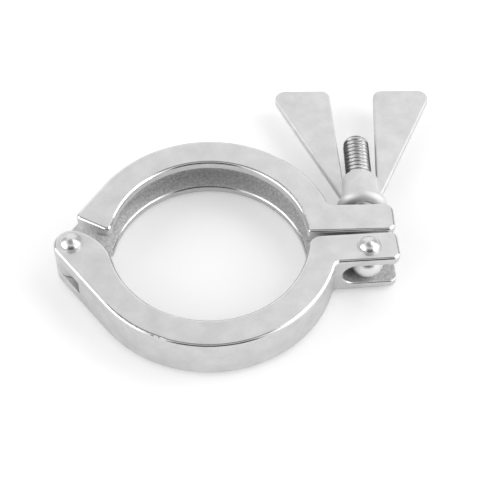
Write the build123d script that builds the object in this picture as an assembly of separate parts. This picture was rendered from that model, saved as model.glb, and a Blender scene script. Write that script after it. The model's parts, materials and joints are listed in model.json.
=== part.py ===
from build123d import *
import os
from math import acos, asin, atan2, cos, degrees, radians, sin, sqrt, tan

# Sanitary hinged clamp for 2 inch ferrules: two cast half rings on a hinge pin, closed by a
# swinging eye bolt with a wing nut. Millimetres, +Z along the ring's axis. The origin is the
# centre of the front half's arcs at mid height, +X points to the clasp, +Y to the back half.

# --- Ring ---------------------------------------------------------------------------------
opening_radius = 28.75      # free opening between the lips
groove_depth = 4.25
groove_wall = 4.5           # behind the groove's floor
body_height = 14.4
edge_round = 0.9            # round on the top and bottom outline of both castings
groove_mouth = 8.8          # height of the V groove at the opening
flank_angle = 20.0          # each flank of the V groove
mouth_bevel = 0.45          # broken edge where the groove meets the opening

# --- Hinge --------------------------------------------------------------------------------
hinge_outset = 2.2          # hinge pin outside the ring's outer circle
lug_radius = 5.0
lug_blend_radius = 16.0     # curve from the lug into the opening
tongue_height = 5.2
tongue_clearance = 0.2      # above and below the tongue
tongue_relief = 6.2         # free room round the tongue's rounded end
shoulder_distance = 8.8     # end face of the back ring from the hinge pin
shoulder_angle = 60.8       # direction of that face, from +X
shoulder_round = 1.4        # upright corners of that face

# --- Clasp --------------------------------------------------------------------------------
ear_end = 8.7               # ears' ends beyond the bolt pin
ear_thickness = 10.0
ear_gap = 3.8               # between the ears while the arcs are concentric
closing_angle = 2.1         # the empty clamp closes further by this
ear_root_round = 2.0        # outer corner between ring and ear
ear_corner_round = 2.4      # upright corners at the ears' ends
front_inner_round = 4.0     # front half, from the opening into the ear's face
back_inner_round = 0.9      # the same corner of the back half
back_corner_round = 3.0     # outer end corner of the back ear
slot_clearance = 0.2        # bolt shank to the slot's upper and lower walls
slot_root = 2.3             # wall left between the ring's outer face and the slots
slot_edge_round = 0.5
eye_back_room = 2.84        # closed end of the slot to the bolt's eye

# --- Pins ---------------------------------------------------------------------------------
pin_radius = 2.5
pin_clearance = 0.05        # pin to its holes
head_radius = 2.95
head_rim = 1.0              # upright edge of the head
head_dome = 1.5             # dome above it
seat_depth = 0.15           # spot face in the casting under the head
seat_margin = 0.5           # spot face beyond the head
tail_height = 1.0

# --- Eye bolt (5/16-18 UNC) ---------------------------------------------------------------
bolt_radius = 3.97
bolt_length = 45.5          # bolt pin to tip
tip_chamfer = 1.0
eye_radius = 4.9
eye_side_clearance = 0.15   # eye's flats to the slot's walls
bolt_lean = 3.2             # clockwise from +Y, seen from above

# --- Wing nut -----------------------------------------------------------------------------
nut_gap = 2.2               # back ear's face to the flange
thread_clearance = 0.06
flange_radius = 7.6
flange_height = 2.7
flange_round = 2.0
bore_bevel = 1.1
hub_height = 12.1           # whole nut without its wings
hub_base_radius = 6.0
hub_end_radius = 5.55
hub_edge_round = 0.5
wing_thickness = 2.8
wing_root_height = 5.0      # wings start this far above the flange's face
wing_height = 48.1          # wings' ends above the flange's face
wing_half_span = 26.2
wing_inner_gap = 7.1        # half the gap between the wings at their ends
wing_inner_root = 5.2       # and at the hub's end
wing_outer_round = 3.2
wing_inner_round = 2.6
wing_edge_round = 0.6

# --- Places worked out from the sizes above -----------------------------------------------
half_height = body_height / 2
floor_radius = opening_radius + groove_depth
outer_radius = floor_radius + groove_wall
hinge = Vector(-(outer_radius + hinge_outset), 0)
inner_face = ear_gap / 2
outer_face = inner_face + ear_thickness
slot_half_height = bolt_radius + slot_clearance
slot_end = sqrt(outer_radius**2 - outer_face**2) + slot_root
bolt_pin = Vector(slot_end + eye_back_room + eye_radius, -(inner_face + outer_face) / 2)
ear_reach = bolt_pin.X + ear_end
# Along the bolt, from its pin to the back ear's face and to the nut's flange.
ear_face_run = outer_face - bolt_pin.Y - (bolt_pin.X - hinge.X) * sin(radians(closing_angle))
flange_face = ear_face_run + nut_gap
beyond = 2 * ear_reach      # longer than anything that a cut has to pass


def polar(radius, angle, centre=Vector(0, 0)):
    """Point at a radius and an angle in degrees from a centre."""
    return centre + Vector(cos(radians(angle)), sin(radians(angle))) * radius


def arc(centre, radius, start, end):
    """Arc round a centre between two angles in degrees, positive when anticlockwise."""
    return CenterArc(centre, radius, start, end - start)


def half_plan(inner_round, end_round):
    """Outline of the half on the -Y side: hinge lug, tangent flank, ring, ear, opening, lug blend."""
    # The flank touches the ring's outer circle and the lug's circle.
    flank = 180 + degrees(acos((outer_radius - lug_radius) / -hinge.X))
    # The blend's centre lies one blend radius off the opening and inside the lug's circle.
    to_origin = opening_radius + lug_blend_radius
    to_hinge = lug_blend_radius - lug_radius
    blend_x = (to_origin**2 - to_hinge**2 + hinge.X**2) / (2 * hinge.X)
    blend = Vector(blend_x, -sqrt(to_origin**2 - blend_x**2))
    blend_from_origin = degrees(atan2(blend.Y, blend.X)) % 360
    blend_to_lug = degrees(atan2(-blend.Y, hinge.X - blend.X))
    # Both circles meet the ear's faces at these angles.
    outer_end = 360 - degrees(asin(outer_face / outer_radius))
    inner_end = 360 - degrees(asin(inner_face / opening_radius))
    root = polar(outer_radius, outer_end)
    tip_outer = Vector(ear_reach, -outer_face)
    tip_inner = Vector(ear_reach, -inner_face)
    corner = polar(opening_radius, inner_end)
    outline = Wire([
        arc(hinge, lug_radius, blend_to_lug, flank),
        Line(polar(lug_radius, flank, hinge), polar(outer_radius, flank)),
        arc(Vector(0, 0), outer_radius, flank, outer_end),
        Line(root, tip_outer),
        Line(tip_outer, tip_inner),
        Line(tip_inner, corner),
        arc(Vector(0, 0), opening_radius, inner_end, blend_from_origin),
        arc(blend, lug_blend_radius, blend_from_origin - 180, blend_to_lug),
    ])
    plan = Face(outline)
    corners = ((root, ear_root_round), (tip_outer, end_round),
               (tip_inner, ear_corner_round), (corner, inner_round))
    for place, radius in corners:
        plan = plan.fillet_2d(radius, [plan.vertices().sort_by_distance(place)[0]])
    return plan


def ring_body(plan):
    """Plan at full height, with its top and bottom outline rounded."""
    body = extrude(plan, amount=half_height, both=True)
    levels = body.edges().group_by(Axis.Z)
    return fillet(levels[0] + levels[-1], edge_round)


def groove():
    """V groove turned round the opening, with a bevel at its mouth."""
    lean = tan(radians(flank_angle))
    mouth = groove_mouth / 2
    floor = mouth - groove_depth * lean
    inside = opening_radius - edge_round
    side = [
        (inside, mouth + mouth_bevel + edge_round),
        (opening_radius + mouth_bevel, mouth - mouth_bevel * lean),
        (floor_radius, floor),
    ]
    section = side + [(r, -z) for r, z in reversed(side)]
    profile = make_face(Polyline([(r, 0, z) for r, z in section], close=True))
    return revolve(profile, Axis.Z)


def ear_slot():
    """Slot for the bolt: open at the ear's end, closed by a half round at its root."""
    round_centre = slot_end + slot_half_height
    long_box = Pos(round_centre + beyond / 2, 0, 0) * Box(beyond, beyond, 2 * slot_half_height)
    closed_end = Pos(round_centre, 0, 0) * Rot(90, 0, 0) * Cylinder(slot_half_height, beyond)
    reach = Pos(beyond / 2, 0, 0) * Box(beyond, beyond, beyond)
    return (long_box + closed_end) & reach


def with_slot(body):
    """Cut the slot into a casting and round its edges."""
    slot = ear_slot()
    slotted = body - slot
    return fillet(new_edges(body, slot, combined=slotted), slot_edge_round)


def pin_hole(place, clearance):
    """Upright hole for a pin."""
    return Pos(place.X, place.Y, 0) * Cylinder(pin_radius + clearance, beyond)


def pin_seat(place):
    """Shallow round recess under a pin's head."""
    reach = head_radius + seat_margin
    return Pos(place.X, place.Y, half_height + seat_depth) * Cylinder(reach, 4 * seat_depth)


def front_half():
    """Casting with the hinge fork and the ear that carries the eye bolt."""
    body = ring_body(half_plan(front_inner_round, ear_corner_round))
    body -= groove()
    tongue_room = tongue_height + 2 * tongue_clearance
    body -= Pos(hinge.X, hinge.Y, 0) * Cylinder(lug_radius + tongue_relief, tongue_room)
    body = with_slot(body)
    for place in (hinge, bolt_pin):
        body -= pin_hole(place, pin_clearance)
        body -= pin_seat(place)
    return body


def back_half():
    """Casting with the hinge tongue and the slotted ear that the nut presses on."""
    plan = mirror(half_plan(back_inner_round, back_corner_round), about=Plane.XZ)
    # The full height ends at the shoulder; only the tongue runs on to the pin.
    shoulder = Pos(hinge.X, hinge.Y, 0) * Rot(0, 0, shoulder_angle)
    ring = plan - shoulder * Pos(shoulder_distance - beyond / 2, 0, 0) * Rectangle(beyond, beyond)
    shoulder_axis = Axis(hinge, polar(1, shoulder_angle))
    ring = ring.face().fillet_2d(shoulder_round, ring.vertices().sort_by(shoulder_axis)[:2])
    body = ring_body(ring) + extrude(plan, amount=tongue_height / 2, both=True)
    body -= groove()
    body = with_slot(body)
    body -= pin_hole(hinge, pin_clearance)
    return body


def closed(shape):
    """Turn a piece of the back half about the hinge pin into the empty clamp's closed pose."""
    return Pos(hinge.X, hinge.Y, 0) * Rot(0, 0, -closing_angle) * Pos(-hinge.X, -hinge.Y, 0) * shape


def rivet_pin(place):
    """Pin with an upright rim and a dome for a head, and a shallow peened tail underneath."""
    seat = half_height - seat_depth
    rim = seat + head_rim
    head = Vector(0, 0, rim + head_dome)
    bottom = -half_height
    tail = Vector(0, 0, bottom - tail_height)
    side = Polyline(
        (head_radius, 0, rim), (head_radius, 0, seat), (pin_radius, 0, seat),
        (pin_radius, 0, bottom), (head_radius, 0, bottom))
    section = Wire([
        Line(tail, head),
        TangentArc(head, Vector(head_radius, 0, rim), tangent=(1, 0, 0)),
        *side.edges(),
        TangentArc(tail, Vector(head_radius, 0, bottom), tangent=(1, 0, 0)),
    ])
    return Pos(place.X, place.Y, 0) * revolve(Face(section), Axis.Z)


def on_bolt(shape):
    """Place a piece made round the Y axis onto the leaning bolt."""
    return Pos(bolt_pin.X, bolt_pin.Y, 0) * Rot(0, 0, -bolt_lean) * shape


def eye_bolt():
    """Ball eye with flats above and below, cross hole for the pin, straight shank with a bevelled tip."""
    flats = 2 * (slot_half_height - eye_side_clearance)
    eye = Sphere(eye_radius) & Box(2 * eye_radius, 2 * eye_radius, flats)
    shank = Polyline(
        (0, 0), (bolt_radius, 0), (bolt_radius, bolt_length - tip_chamfer),
        (bolt_radius - tip_chamfer, bolt_length), (0, bolt_length), close=True)
    bolt = eye + revolve(make_face(shank), Axis.Y)
    return on_bolt(bolt - pin_hole(Vector(0, 0), pin_clearance))


def nut_body():
    """Flange and tapered hub turned round the bolt, with the bore through both."""
    bore = bolt_radius + thread_clearance
    flange_top = flange_face + flange_height
    hub_end = flange_face + hub_height
    section = Face(Wire(Polyline(
        (bore, flange_face + bore_bevel), (bore + bore_bevel, flange_face), (flange_radius, flange_face),
        (flange_radius, flange_top), (hub_base_radius, flange_top), (hub_end_radius, hub_end),
        (bore, hub_end), close=True)))
    rounds = (((flange_radius, flange_face), flange_round), ((flange_radius, flange_top), hub_edge_round),
              ((hub_base_radius, flange_top), hub_edge_round), ((hub_end_radius, hub_end), hub_edge_round))
    for place, radius in rounds:
        section = section.fillet_2d(radius, [section.vertices().sort_by_distance(place)[0]])
    return revolve(section, Axis.Y)


def wing():
    """One flat wing, from the hub's side out to its blunt end."""
    bore = bolt_radius + thread_clearance
    inside = (bore + hub_end_radius) / 2
    root = flange_face + wing_root_height
    hub_end = flange_face + hub_height
    end = flange_face + wing_height
    outer_tip = Vector(wing_half_span, end)
    inner_tip = Vector(wing_inner_gap, end)
    plan = Face(Wire(Polyline(
        (inside, root), (hub_base_radius, root), outer_tip, inner_tip, (wing_inner_root, hub_end),
        (inside, hub_end - hub_edge_round), close=True)))
    plan = plan.fillet_2d(wing_outer_round, [plan.vertices().sort_by_distance(outer_tip)[0]])
    plan = plan.fillet_2d(wing_inner_round, [plan.vertices().sort_by_distance(inner_tip)[0]])
    plate = extrude(plan, amount=wing_thickness / 2, both=True)
    levels = plate.edges().group_by(Axis.Z)
    return fillet(levels[0] + levels[-1], wing_edge_round)


def wing_nut():
    """Nut with two wings opening away from the clamp."""
    right = wing()
    return on_bolt(nut_body() + right + mirror(right, about=Plane.YZ))


parts = {
    "front_half": front_half(),
    "back_half": closed(back_half()),
    "hinge_pin": rivet_pin(hinge),
    "bolt_pin": rivet_pin(bolt_pin),
    "eye_bolt": eye_bolt(),
    "wing_nut": wing_nut(),
}

os.makedirs("parts", exist_ok=True)
for name, shape in parts.items():
    export_step(shape, "parts/" + name + ".step")
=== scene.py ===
import json
from math import atan2, cos, pi, radians, sin

import bmesh
import bpy
import numpy as np
from mathutils import Matrix, Vector


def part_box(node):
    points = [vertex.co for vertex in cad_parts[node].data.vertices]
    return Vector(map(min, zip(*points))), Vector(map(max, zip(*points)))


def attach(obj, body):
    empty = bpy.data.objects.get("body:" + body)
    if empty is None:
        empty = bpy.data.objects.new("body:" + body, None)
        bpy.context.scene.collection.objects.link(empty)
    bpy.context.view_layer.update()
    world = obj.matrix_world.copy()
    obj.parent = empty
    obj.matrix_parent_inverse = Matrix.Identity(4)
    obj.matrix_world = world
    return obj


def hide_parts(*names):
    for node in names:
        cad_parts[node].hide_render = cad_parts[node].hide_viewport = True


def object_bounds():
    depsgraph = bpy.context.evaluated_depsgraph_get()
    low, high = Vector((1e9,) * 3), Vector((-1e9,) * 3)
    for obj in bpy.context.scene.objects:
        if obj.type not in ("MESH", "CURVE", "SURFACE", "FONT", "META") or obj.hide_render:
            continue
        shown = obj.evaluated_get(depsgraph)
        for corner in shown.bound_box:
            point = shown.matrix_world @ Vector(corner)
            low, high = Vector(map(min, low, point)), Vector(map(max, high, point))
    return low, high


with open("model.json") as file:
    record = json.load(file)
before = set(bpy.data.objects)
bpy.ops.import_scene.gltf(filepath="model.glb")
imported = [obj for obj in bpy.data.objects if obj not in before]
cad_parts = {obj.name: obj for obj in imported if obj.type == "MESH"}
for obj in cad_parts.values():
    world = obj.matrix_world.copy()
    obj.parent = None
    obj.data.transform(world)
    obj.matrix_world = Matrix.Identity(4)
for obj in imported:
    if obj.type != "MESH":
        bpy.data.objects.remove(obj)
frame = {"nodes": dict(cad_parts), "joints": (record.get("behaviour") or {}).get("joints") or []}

cad_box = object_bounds()
mm = 0.001

# --- Places and sizes read from the frame ---------------------------------------------------
joints = {joint["name"]: joint for joint in frame["joints"]}
hinge_pin = joints["half_hinge"]["pos_m"]
bolt_pin = Vector(joints["bolt_swing"]["pos_m"])
along_bolt = Vector(joints["nut_travel"]["axis"]).normalized()
lean = atan2(along_bolt.x, along_bolt.y)
bolt_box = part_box("eye_bolt")
eye_height = bolt_box[1].z - bolt_box[0].z
floor_level = cad_box[0].z

# --- Sizes of the eye bolt, 5/16-18 UNC -----------------------------------------------------
thread_radius = 3.97 * mm       # over the crests
pitch = 1.411 * mm
thread_depth = 0.61 * pitch
plain_length = 12.0 * mm        # bolt pin to the first turn of full depth
run_in = 1.5 * pitch            # the thread deepens over this length
shank_start = 3.2 * mm          # inside the eye
tip_fall = 1.35 * mm            # the rounded tip is smaller by this
tip_run = 2.2 * mm              # and this long
eye_radius = 4.9 * mm
eye_hole_radius = 2.55 * mm
sharp_angle = radians(35)       # edges of the bolt stay crisp past this

# --- Castings -------------------------------------------------------------------------------
closed_by = radians(2.1)        # the back half's arcs are turned about the hinge pin by this
front_centre = (0, 0)
back_centre = (hinge_pin[0] * (1 - cos(closed_by)), hinge_pin[0] * sin(closed_by))
front_ear_middle = bolt_pin.y
back_ear_middle = -bolt_pin.y - (bolt_pin.x - hinge_pin[0]) * sin(closed_by)

# Where no wheel reaches and the skin stays rough, and where its colour is also darker as painted
# shade of the hollows. Each pair is the place where the skin begins and the place where it covers
# the surface fully.
groove_height = (4.5 * mm, 4.3 * mm)    # from the middle of the castings' height
groove_lip = (28.9 * mm, 29.1 * mm)     # from the middle of the opening
groove_floor = (33.3 * mm, 33.1 * mm)
slot_height = (4.3 * mm, 4.2 * mm)
slot_end = (37.6 * mm, 37.8 * mm)       # along X
slot_depth = (4.6 * mm, 4.3 * mm)       # from the middle of the ear
fork_height = (2.95 * mm, 2.85 * mm)
fork_reach = (11.6 * mm, 11.4 * mm)     # from the hinge pin
lug_edge = (5.05 * mm, 5.2 * mm)
fork_share = 0.5                        # the fork is half as rough, and half as darkened by painted shade, as the groove

# Rounds between walls and level faces shine. Each pair is the upward part of the surface's
# direction where the shine begins and where it is full.
round_from_wall = (0.05, 0.2)
round_from_level = (0.995, 0.975)

# --- Finishes: cells of a pattern to the metre, spread of its values, depth of its relief ----
half_shade = 0.78               # the two halves of the clamp
half_roughness = 0.43
sheen_cells = 260
sheen_spread = 0.06
blotch_cells = 170
blotch_spread = 0.14
wave_cells = 90
wave_depth = 0.06 * mm
grain_cells = 2600
grain_depth = 0.006 * mm
skin_cells = 1500
# Colours of the skin in the hollows: partly the rough skin's own grey, partly painted shade.
skin_tones_and_painted_shade = (0.2, 1.0)
skin_roughness = 0.6
skin_depth = 0.06 * mm
edge_roughness = 0.12
edge_wear = 0.3 * mm            # sharp edges look rounded by this
turned_cells = 900
turned_spread = 0.04
painted_shade_tone = 0.22               # painted shade in the thread's roots and on the shank's sides
painted_shade_depth = (0.35 * mm, 0.7 * mm)      # below the crests, where it begins and is full
painted_shade_side = (0.5, 0.9)                  # share of the radius off the middle, likewise
painted_shade_start = (10 * mm, 12 * mm)         # from the bolt pin, likewise

# --- Studio ---------------------------------------------------------------------------------
room_level = 0.95
overhead_level = 0.3
corner_level = 0.5
dark_level = 0.08
# Headings go from 0 in front of the clamp to 180 degrees behind it, on either side, and heights
# from 0 at the horizon to 1 overhead. Each pair is where a level begins and where it is full.
dark_heading = (radians(40), radians(28))
corner_heading = (radians(95), radians(110))
corner_end = (radians(155), radians(140))
side_height = (0.8, 0.7)
overhead_height = (0.86, 0.9)
floor_half = 1.5
floor_shade = 0.85
floor_lift = 0.28               # keeps the pale floor white to the camera
floor_lift_in_metal = 0.25      # share of that lift in reflections


def bolt_frame():
    """Matrix to the clamp's frame from one with +Y along the bolt and its origin at the bolt pin."""
    return Matrix.Translation(bolt_pin) @ Matrix.Rotation(-lean, 4, "Z")


def furthest_along_bolt(node):
    """Furthest reach of a CAD node from the bolt pin, measured along the bolt."""
    mesh = frame["nodes"][node].data
    points = np.empty(3 * len(mesh.vertices), np.float32)
    mesh.vertices.foreach_get("co", points)
    runs = (points.reshape(-1, 3) - np.array(bolt_pin)) @ np.array(along_bolt)
    return float(runs.max())


# --- Surfaces -------------------------------------------------------------------------------
def grid_faces(rows, columns, ring_rows, ring_columns):
    """Quads of a grid of rows by columns, joined round where a direction is a ring."""
    row = np.arange(rows if ring_rows else rows - 1)
    column = np.arange(columns if ring_columns else columns - 1)
    i, j = np.meshgrid(row, column, indexing="ij")
    next_i = (i + 1) % rows
    next_j = (j + 1) % columns
    corners = (
        i * columns + j,
        i * columns + next_j,
        next_i * columns + next_j,
        next_i * columns + j,
    )
    return np.stack(corners, axis=-1).reshape(-1, 4)


def new_piece(name, points, faces):
    """Mesh object from points in metres and faces, with its normals outward."""
    mesh = bpy.data.meshes.new(name)
    mesh.from_pydata(points.tolist(), [], faces)
    shape = bmesh.new()
    shape.from_mesh(mesh)
    bmesh.ops.recalc_face_normals(shape, faces=shape.faces)
    shape.to_mesh(mesh)
    shape.free()
    piece = bpy.data.objects.new(name, mesh)
    bpy.context.scene.collection.objects.link(piece)
    return piece


# --- Eye bolt -------------------------------------------------------------------------------
def thread_form(phase):
    """Height of the thread over its root, 0 to 1, at a phase of 0 to 1 along one pitch.

    The triangle wave |2 phase - 1| is stretched about its middle and cut off at 0 and 1, which
    gives t. The height mixes t with (1 - cos(pi t)) / 2 by the softness, so that crests and roots
    are short level lands with soft edges.
    """
    stretch = 1.25
    softness = 0.35
    t = np.clip((np.abs(2 * phase - 1) - 0.5) * stretch + 0.5, 0, 1)
    return (1 - softness) * t + softness * (1 - np.cos(pi * t)) / 2


def shank_surface(length):
    """Shank round +Y from inside the eye to the tip, as points and faces.

    The grid runs round (angle a) and along (distance s). Its radius is the crest radius less the
    thread's depth times (1 - form((s / pitch - a / 2 pi) mod 1)), where that depth rises from 0
    over the run-in. It is never more than the tip's quarter ellipse, which falls from the crest
    radius by tip_fall * (1 - sqrt(1 - (1 - d / tip_run)^2)) at a distance d from the tip.
    """
    around = 72
    rings_per_pitch = 14
    thread_start = plain_length - run_in
    plain = np.array([shank_start, thread_start - 0.1 * pitch])
    threaded = np.arange(thread_start, length, pitch / rings_per_pitch)
    s = np.concatenate([plain, threaded, [length]])
    a = np.arange(around) * (2 * pi / around)
    run, angle = np.meshgrid(s, a, indexing="ij")
    risen = np.clip((run - thread_start) / run_in, 0, 1)
    form = thread_form((run / pitch - angle / (2 * pi)) % 1)
    radius = thread_radius - thread_depth * risen * (1 - form)
    into_tip = np.clip(1 - (length - run) / tip_run, 0, 1)
    radius = np.minimum(radius, thread_radius - tip_fall * (1 - np.sqrt(1 - into_tip**2)))
    points = np.stack([radius * np.cos(angle), run, radius * np.sin(angle)], axis=-1)
    faces = grid_faces(len(s), around, False, True).tolist()
    faces.append(list(range(around)))
    faces.append(list(range((len(s) - 1) * around, len(s) * around)))
    return points.reshape(-1, 3), faces


def eye_surface():
    """Ball eye turned about the pin's axis, as points and faces.

    The section goes up the hole's wall, out over the upper flat and down the ball's arc,
    (R cos t, R sin t) with t from the upper flat to the lower one, and is carried round the pin.
    """
    around = 96
    arc_points = 40
    top = eye_height / 2
    limit = np.arcsin(top / eye_radius)
    t = np.linspace(limit, -limit, arc_points)
    section_r = np.concatenate([[eye_hole_radius, eye_hole_radius], eye_radius * np.cos(t)])
    section_z = np.concatenate([[-top, top], eye_radius * np.sin(t)])
    a = np.arange(around) * (2 * pi / around)
    angle, radius = np.meshgrid(a, section_r, indexing="ij")
    height = np.broadcast_to(section_z, radius.shape)
    points = np.stack([radius * np.cos(angle), radius * np.sin(angle), height], axis=-1)
    return points.reshape(-1, 3), grid_faces(around, len(section_r), True, True).tolist()


def eye_bolt():
    """Ball eye and threaded shank joined into one closed surface in the bolt's place."""
    eye = new_piece("threaded_eye_bolt", *eye_surface())
    shank = new_piece("shank_part", *shank_surface(furthest_along_bolt("eye_bolt")))
    join = eye.modifiers.new("join", "BOOLEAN")
    join.operation = "UNION"
    join.solver = "EXACT"
    join.object = shank
    bpy.context.view_layer.update()
    joined = eye.evaluated_get(bpy.context.evaluated_depsgraph_get())
    solid = bpy.data.meshes.new_from_object(joined)
    eye.modifiers.clear()
    eye.data = solid
    bpy.data.objects.remove(shank)
    solid.transform(bolt_frame())
    solid.shade_smooth()
    solid.set_sharp_from_angle(angle=sharp_angle)
    return eye


# --- Nodes of a material --------------------------------------------------------------------
def new_material(name):
    """Empty material with its node tree and its Principled shader."""
    material = bpy.data.materials.new(name)
    material.use_nodes = True
    tree = material.node_tree
    return material, tree, tree.nodes["Principled BSDF"]


def plug(tree, value, socket):
    """Join an output to an input, or set the input to a plain number."""
    if isinstance(value, (int, float)):
        socket.default_value = value
    else:
        tree.links.new(value, socket)


def noise(tree, cells, detail, rough=0.5):
    """Noise that sits still on the piece, with so many cells to the metre."""
    place = tree.nodes.new("ShaderNodeTexCoord")
    texture = tree.nodes.new("ShaderNodeTexNoise")
    texture.inputs["Scale"].default_value = cells
    texture.inputs["Detail"].default_value = detail
    texture.inputs["Roughness"].default_value = rough
    tree.links.new(place.outputs["Object"], texture.inputs["Vector"])
    return texture.outputs["Fac"]


def spread(tree, value, low, high):
    """Values from 0 to 1 spread between low and high."""
    step = tree.nodes.new("ShaderNodeMapRange")
    step.inputs["To Min"].default_value = low
    step.inputs["To Max"].default_value = high
    tree.links.new(value, step.inputs["Value"])
    return step.outputs["Result"]


def between(tree, value, start, end):
    """Smooth step of a value, 0 at start and 1 at end, whichever of the two is larger."""
    step = tree.nodes.new("ShaderNodeMapRange")
    step.interpolation_type = "SMOOTHSTEP"
    step.inputs["From Min"].default_value = start
    step.inputs["From Max"].default_value = end
    tree.links.new(value, step.inputs["Value"])
    return step.outputs["Result"]


def blend(tree, share, low, high):
    """Value that goes from one level to another with a share of 0 to 1."""
    mix = tree.nodes.new("ShaderNodeMix")
    plug(tree, share, mix.inputs[0])
    plug(tree, low, mix.inputs[2])
    plug(tree, high, mix.inputs[3])
    return mix.outputs[0]


def math_node(tree, operation, *values):
    """Result of a math node on outputs or plain numbers."""
    step = tree.nodes.new("ShaderNodeMath")
    step.operation = operation
    for socket, value in zip(step.inputs, values):
        plug(tree, value, socket)
    return step.outputs[0]


def product(tree, first, *others):
    """Values multiplied with each other."""
    for other in others:
        first = math_node(tree, "MULTIPLY", first, other)
    return first


def hypotenuse(tree, first, second):
    """Square root of the sum of two squares."""
    squares = math_node(tree, "ADD", product(tree, first, first), product(tree, second, second))
    return math_node(tree, "SQRT", squares)


def coordinates(tree, output):
    """X, Y and Z of the place on the piece or of its surface's direction."""
    source = tree.nodes.new("ShaderNodeTexCoord")
    split = tree.nodes.new("ShaderNodeSeparateXYZ")
    tree.links.new(source.outputs[output], split.inputs[0])
    return split.outputs


def distance_from(tree, x, y, axis):
    """Distance of the place from an upright axis."""
    along_x = math_node(tree, "SUBTRACT", x, axis[0])
    along_y = math_node(tree, "SUBTRACT", y, axis[1])
    return hypotenuse(tree, along_x, along_y)


def bump(tree, height, depth, under):
    """Surface direction with a relief of a depth in metres on top of another one."""
    relief = tree.nodes.new("ShaderNodeBump")
    relief.inputs["Strength"].default_value = 1.0
    plug(tree, depth, relief.inputs["Distance"])
    tree.links.new(height, relief.inputs["Height"])
    tree.links.new(under, relief.inputs["Normal"])
    return relief.outputs["Normal"]


def worn_edges(tree):
    """Surface direction in which sharp edges look rounded."""
    worn = tree.nodes.new("ShaderNodeBevel")
    worn.samples = 8
    worn.inputs["Radius"].default_value = edge_wear
    return worn.outputs["Normal"]


# --- Materials ------------------------------------------------------------------------------
def rough_and_shaded_places(tree, centre, ear_middle):
    """Share of 1 inside the V groove and the ear's slot, and less in the hinge fork: rough skin with
    painted shade.
    """
    x, y, z = coordinates(tree, "Object")
    height = math_node(tree, "ABSOLUTE", z)
    radius = distance_from(tree, x, y, centre)
    from_hinge = distance_from(tree, x, y, hinge_pin)
    from_middle = math_node(tree, "ABSOLUTE", math_node(tree, "SUBTRACT", y, ear_middle))
    groove = product(
        tree,
        between(tree, height, *groove_height),
        between(tree, radius, *groove_lip),
        between(tree, radius, *groove_floor),
    )
    slot = product(
        tree,
        between(tree, height, *slot_height),
        between(tree, x, *slot_end),
        between(tree, from_middle, *slot_depth),
    )
    fork = product(
        tree,
        between(tree, height, *fork_height),
        between(tree, from_hinge, *fork_reach),
        between(tree, from_hinge, *lug_edge),
        fork_share,
    )
    return math_node(tree, "MAXIMUM", groove, math_node(tree, "MAXIMUM", slot, fork))


def polished_rounds(tree):
    """Share of 1 on the rounds between level faces and walls, told by the surface's direction."""
    upward = math_node(tree, "ABSOLUTE", coordinates(tree, "Normal")[2])
    off_wall = between(tree, upward, *round_from_wall)
    off_level = between(tree, upward, *round_from_level)
    return product(tree, off_wall, off_level)


def cast_steel(name, shade, roughness, centre=None, ear_middle=0.0):
    """Cast stainless steel, tumbled satin, with faint blotches, low waves and a fine grain.

    A centre and an ear's middle make it a half of the clamp, with bright rounds and a rough
    skin in the groove, the slot and the fork, whose colour is darkened there as painted shade.
    """
    material, tree, shader = new_material(name)
    shader.inputs["Metallic"].default_value = 1.0
    sheen_noise = noise(tree, sheen_cells, detail=3)
    sheen = spread(tree, sheen_noise, roughness - sheen_spread, roughness + sheen_spread)
    blotches = noise(tree, blotch_cells, detail=4, rough=0.6)
    colour = spread(tree, blotches, shade - blotch_spread, shade + blotch_spread)
    depth = grain_depth
    if centre is not None:
        rough = rough_and_shaded_places(tree, centre, ear_middle)
        skin = noise(tree, skin_cells, detail=3, rough=0.7)
        sheen = blend(tree, polished_rounds(tree), sheen, edge_roughness)
        sheen = blend(tree, rough, sheen, skin_roughness)
        # Painted shade: darker colour in the groove, slot and fork, partly the rough skin's own grey
        # and partly the shade of these hollows.
        colour = blend(tree, rough, colour, spread(tree, skin, *skin_tones_and_painted_shade))
        depth = blend(tree, rough, grain_depth, skin_depth)
    waves = bump(tree, noise(tree, wave_cells, detail=1), wave_depth, worn_edges(tree))
    grain = bump(tree, noise(tree, grain_cells, detail=2), depth, waves)
    tree.links.new(sheen, shader.inputs["Roughness"])
    tree.links.new(colour, shader.inputs["Base Color"])
    tree.links.new(grain, shader.inputs["Normal"])
    return material


def turned_sheen(tree, shader, roughness):
    """Make a shader plain metal with the slightly uneven sheen of a turned surface."""
    shader.inputs["Metallic"].default_value = 1.0
    streaks = noise(tree, turned_cells, detail=2)
    sheen = spread(tree, streaks, roughness - turned_spread, roughness + turned_spread)
    tree.links.new(sheen, shader.inputs["Roughness"])


def bright_steel(name, shade, roughness):
    """Turned stainless steel with a bright finish."""
    material, tree, shader = new_material(name)
    shader.inputs["Base Color"].default_value = (shade, shade, shade, 1)
    turned_sheen(tree, shader, roughness)
    return material


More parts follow.
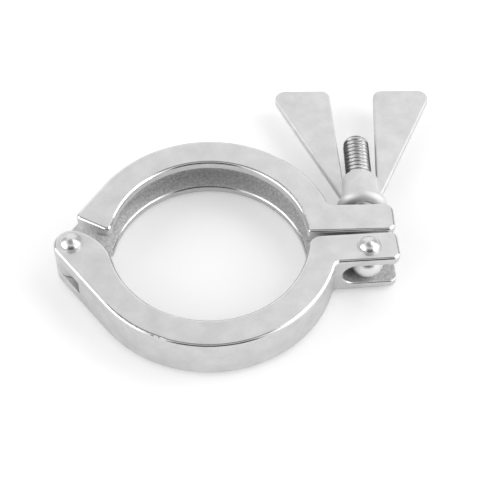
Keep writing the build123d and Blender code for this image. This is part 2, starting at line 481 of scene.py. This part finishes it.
def bolt_steel(name, shade, roughness):
    """Bright rolled steel, with painted shade in the thread's roots and on the shank's sides."""
    material, tree, shader = new_material(name)
    x, y, z = coordinates(tree, "Object")
    from_pin_x = math_node(tree, "SUBTRACT", x, bolt_pin.x)
    from_pin_y = math_node(tree, "SUBTRACT", y, bolt_pin.y)
    offset = math_node(
        tree, "ADD", product(tree, from_pin_x, cos(lean)), product(tree, from_pin_y, -sin(lean)))
    from_axis = hypotenuse(tree, offset, z)
    depth = math_node(tree, "SUBTRACT", thread_radius, from_axis)
    sideways = math_node(tree, "ABSOLUTE", math_node(tree, "DIVIDE", offset, thread_radius))
    # Painted shade: the thread's roots and the shank's sides are coloured darker in place of the
    # shade and dark reflections there.
    roots = between(tree, depth, *painted_shade_depth)
    sides = between(tree, sideways, *painted_shade_side)
    painted_shade = product(
        tree,
        math_node(tree, "MAXIMUM", roots, sides),
        between(tree, from_pin_y, *painted_shade_start),
    )
    tree.links.new(blend(tree, painted_shade, shade, painted_shade_tone), shader.inputs["Base Color"])
    turned_sheen(tree, shader, roughness)
    return material


def finish(piece, material):
    """Give a piece its finish in place of any other."""
    piece.data.materials.clear()
    piece.data.materials.append(material)


cad = frame["nodes"]
front_steel = cast_steel(
    "cast satin steel, front", half_shade, half_roughness, front_centre, front_ear_middle)
back_steel = cast_steel(
    "cast satin steel, back", half_shade, half_roughness, back_centre, back_ear_middle)
pin_steel = bright_steel("bright pin steel", shade=0.8, roughness=0.27)
finish(cad["front_half"], front_steel)
finish(cad["back_half"], back_steel)
finish(cad["wing_nut"], cast_steel("nut satin steel", shade=0.8, roughness=0.6))
finish(cad["hinge_pin"], pin_steel)
finish(cad["bolt_pin"], pin_steel)
bolt = eye_bolt()
finish(bolt, bolt_steel("bolt steel", shade=0.95, roughness=0.3))
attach(bolt, "bolt")
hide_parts("eye_bolt")


# --- Floor, lights and camera ---------------------------------------------------------------
def floor():
    """Large pale sheet under the clamp that keeps its shadow and shows white to the camera."""
    half = floor_half
    corners = [(-half, -half, 0), (half, -half, 0), (half, half, 0), (-half, half, 0)]
    mesh = bpy.data.meshes.new("floor")
    mesh.from_pydata(corners, [], [(0, 1, 2, 3)])
    sheet = bpy.data.objects.new("floor", mesh)
    sheet.location = (0, 0, floor_level)
    bpy.context.scene.collection.objects.link(sheet)
    material, tree, shader = new_material("pale floor")
    shader.inputs["Base Color"].default_value = (floor_shade, floor_shade, floor_shade, 1)
    shader.inputs["Roughness"].default_value = 0.9
    shader.inputs["Specular IOR Level"].default_value = 0.0
    lift = tree.nodes.new("ShaderNodeEmission")
    ray = tree.nodes.new("ShaderNodeLightPath")
    add = tree.nodes.new("ShaderNodeAddShader")
    in_metal = product(tree, ray.outputs["Is Glossy Ray"], floor_lift_in_metal)
    seen = math_node(tree, "ADD", ray.outputs["Is Camera Ray"], in_metal)
    tree.links.new(product(tree, seen, floor_lift), lift.inputs["Strength"])
    tree.links.new(shader.outputs[0], add.inputs[0])
    tree.links.new(lift.outputs[0], add.inputs[1])
    tree.links.new(add.outputs[0], tree.nodes["Material Output"].inputs["Surface"])
    mesh.materials.append(material)


def softbox(name, place, width, height, watts):
    """Rectangular lamp at a place in metres, turned to the middle of the clamp."""
    lamp = bpy.data.lights.new(name, "AREA")
    lamp.shape = "RECTANGLE"
    lamp.size = width
    lamp.size_y = height
    lamp.energy = watts
    box = bpy.data.objects.new(name, lamp)
    box.location = place
    box.rotation_euler = (-Vector(place)).to_track_quat("-Z", "Y").to_euler()
    bpy.context.scene.collection.objects.link(box)


def surroundings():
    """Pale room, dim overhead and in the far corners and dark in front, white to the camera."""
    world = bpy.data.worlds.new("studio")
    bpy.context.scene.world = world
    world.use_nodes = True
    tree = world.node_tree
    x, y, z = coordinates(tree, "Generated")
    sideways = math_node(tree, "ABSOLUTE", x)
    forward = product(tree, y, -1)
    heading = math_node(tree, "ARCTAN2", sideways, forward)
    low = between(tree, z, *side_height)
    dark = product(tree, between(tree, heading, *dark_heading), low)
    corner = product(
        tree,
        between(tree, heading, *corner_heading),
        between(tree, heading, *corner_end),
        low,
    )
    level = blend(tree, between(tree, z, *overhead_height), room_level, overhead_level)
    level = blend(tree, corner, level, corner_level)
    level = blend(tree, dark, level, dark_level)
    room = tree.nodes["Background"]
    tree.links.new(level, room.inputs["Color"])
    white = tree.nodes.new("ShaderNodeBackground")
    white.inputs["Color"].default_value = (1, 1, 1, 1)
    ray = tree.nodes.new("ShaderNodeLightPath")
    mix = tree.nodes.new("ShaderNodeMixShader")
    tree.links.new(ray.outputs["Is Camera Ray"], mix.inputs["Fac"])
    tree.links.new(room.outputs[0], mix.inputs[1])
    tree.links.new(white.outputs[0], mix.inputs[2])
    tree.links.new(mix.outputs[0], tree.nodes["World Output"].inputs["Surface"])


def camera():
    """Camera in front of the clamp and above it, turned a little about its own axis."""
    azimuth = radians(-5.42)
    elevation = radians(53.53)
    roll = radians(1.16)
    distance = 381.6 * mm
    aside = 8.92 * mm
    above = 3.16 * mm
    back = Vector(
        (sin(azimuth) * cos(elevation), -cos(azimuth) * cos(elevation), sin(elevation)))
    right = Vector((cos(azimuth), sin(azimuth), 0))
    up = back.cross(right)
    place = back * distance + right * aside + up * above
    turned_right = right * cos(roll) + up * sin(roll)
    turned_up = up * cos(roll) - right * sin(roll)
    eye = bpy.data.cameras.new("camera")
    eye.lens = 97.8
    eye.sensor_width = 36
    eye.clip_start = 0.01
    stand = bpy.data.objects.new("camera", eye)
    stand.matrix_world = Matrix((
        (turned_right.x, turned_up.x, back.x, place.x),
        (turned_right.y, turned_up.y, back.y, place.y),
        (turned_right.z, turned_up.z, back.z, place.z),
        (0, 0, 0, 1)))
    bpy.context.scene.collection.objects.link(stand)
    bpy.context.scene.camera = stand


floor()
softbox("left", (-0.72, -0.1, 0.34), 0.8, 0.55, 2.2)
softbox("right", (0.72, -0.15, 0.34), 0.85, 0.55, 2.2)
softbox("key", (0.45, 0.15, 0.75), 0.4, 0.4, 0.9)
surroundings()
camera()
bpy.context.scene.view_settings.view_transform = "Standard"
